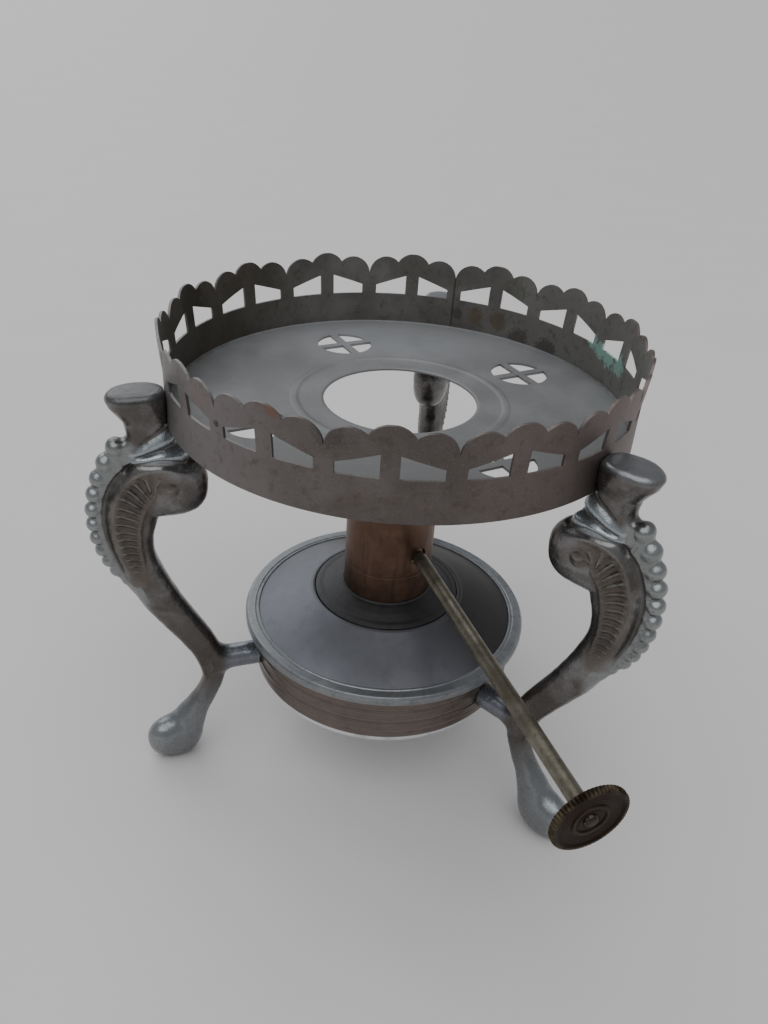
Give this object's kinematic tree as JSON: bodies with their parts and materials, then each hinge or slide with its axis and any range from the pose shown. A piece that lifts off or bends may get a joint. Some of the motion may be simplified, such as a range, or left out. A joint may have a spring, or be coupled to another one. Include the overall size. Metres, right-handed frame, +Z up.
{
  "type": "spirit burner with kettle stand",
  "caption": "Spirit burner with a wick winder, hung in a three-legged stand whose pierced gallery holds a small kettle over the flame.",
  "frame": {"origin": "on the gallery's axis, at the level of the three soles that the stand rests on", "axes": "+Z up along the axis of gallery, lamp and holder ring; +X to the right and -Y towards the side from which the winder's thumbwheel is seen"},
  "size_m": [0.1398, 0.1772, 0.1336],
  "materials": {
    "band_metal": "worn nickel plate on brass sheet, satin, tarnished grey-brown",
    "plate_metal": "worn nickel plate on brass sheet, blue-grey satin",
    "leg_metal": "cast white metal, gunmetal grey with brown patina in its recesses",
    "ring_metal": "turned brass with thin, coppery nickel plate",
    "font_metal": "spun sheet, dark blue-grey satin with bright worn edges",
    "base_metal": "spun sheet, bright worn nickel",
    "tube_metal": "heat-browned copper alloy tube, satin",
    "winder_metal": "olive-brown tarnished brass",
    "wick_cotton": "woven cotton, scorched at the top",
    "gasket_cork": "oiled leather washer"
  },
  "bodies": {
    "stand": {"gallery_band": "band_metal", "seam_rivets": "band_metal", "top_plate": "plate_metal", "holder_ring": "ring_metal", "leg_left": "leg_metal", "leg_right": "leg_metal", "leg_back": "leg_metal"},
    "font": {"font_base": "base_metal", "font_cup": "font_metal", "font_rim": "font_metal", "font_shoulder": "font_metal", "neck_collar": "font_metal"},
    "head": {"neck_gasket": "gasket_cork", "burner_flange": "font_metal", "burner_tube": "tube_metal", "burner_cap": "tube_metal", "wick_guide": "tube_metal", "outer_bush": "winder_metal", "inner_bush": "winder_metal"},
    "winder": {"winder_shaft": "winder_metal", "spur_wheel_inner": "winder_metal", "spur_wheel_middle": "winder_metal", "spur_wheel_outer": "winder_metal", "shaft_collar": "winder_metal", "thumbwheel": "winder_metal"},
    "wick": {"wick": "wick_cotton"}
  },
  "joints": [
    {"name": "lamp_lift", "type": "slide", "parent": "stand", "child": "font", "axis": [0, 0, 1], "range_m": [0, 0.018]},
    {"name": "head_lift", "type": "slide", "parent": "font", "child": "head", "axis": [0, 0, 1], "range_m": [0, 0.017]},
    {"name": "winder_turn", "type": "hinge", "parent": "head", "child": "winder", "pos_m": [0.00806, -0.00968, 0.069], "axis": [-0.3611, 0.931, 0.0523], "range_deg": [-135, 180]},
    {"name": "wick_slide", "type": "slide", "parent": "head", "child": "wick", "axis": [0, 0, 1], "range_m": [-0.006, 0.008]}
  ],
  "couplings": [
    {"joint": "wick_slide", "follows": "winder_turn", "m_per_rad": 0.0025}
  ]
}
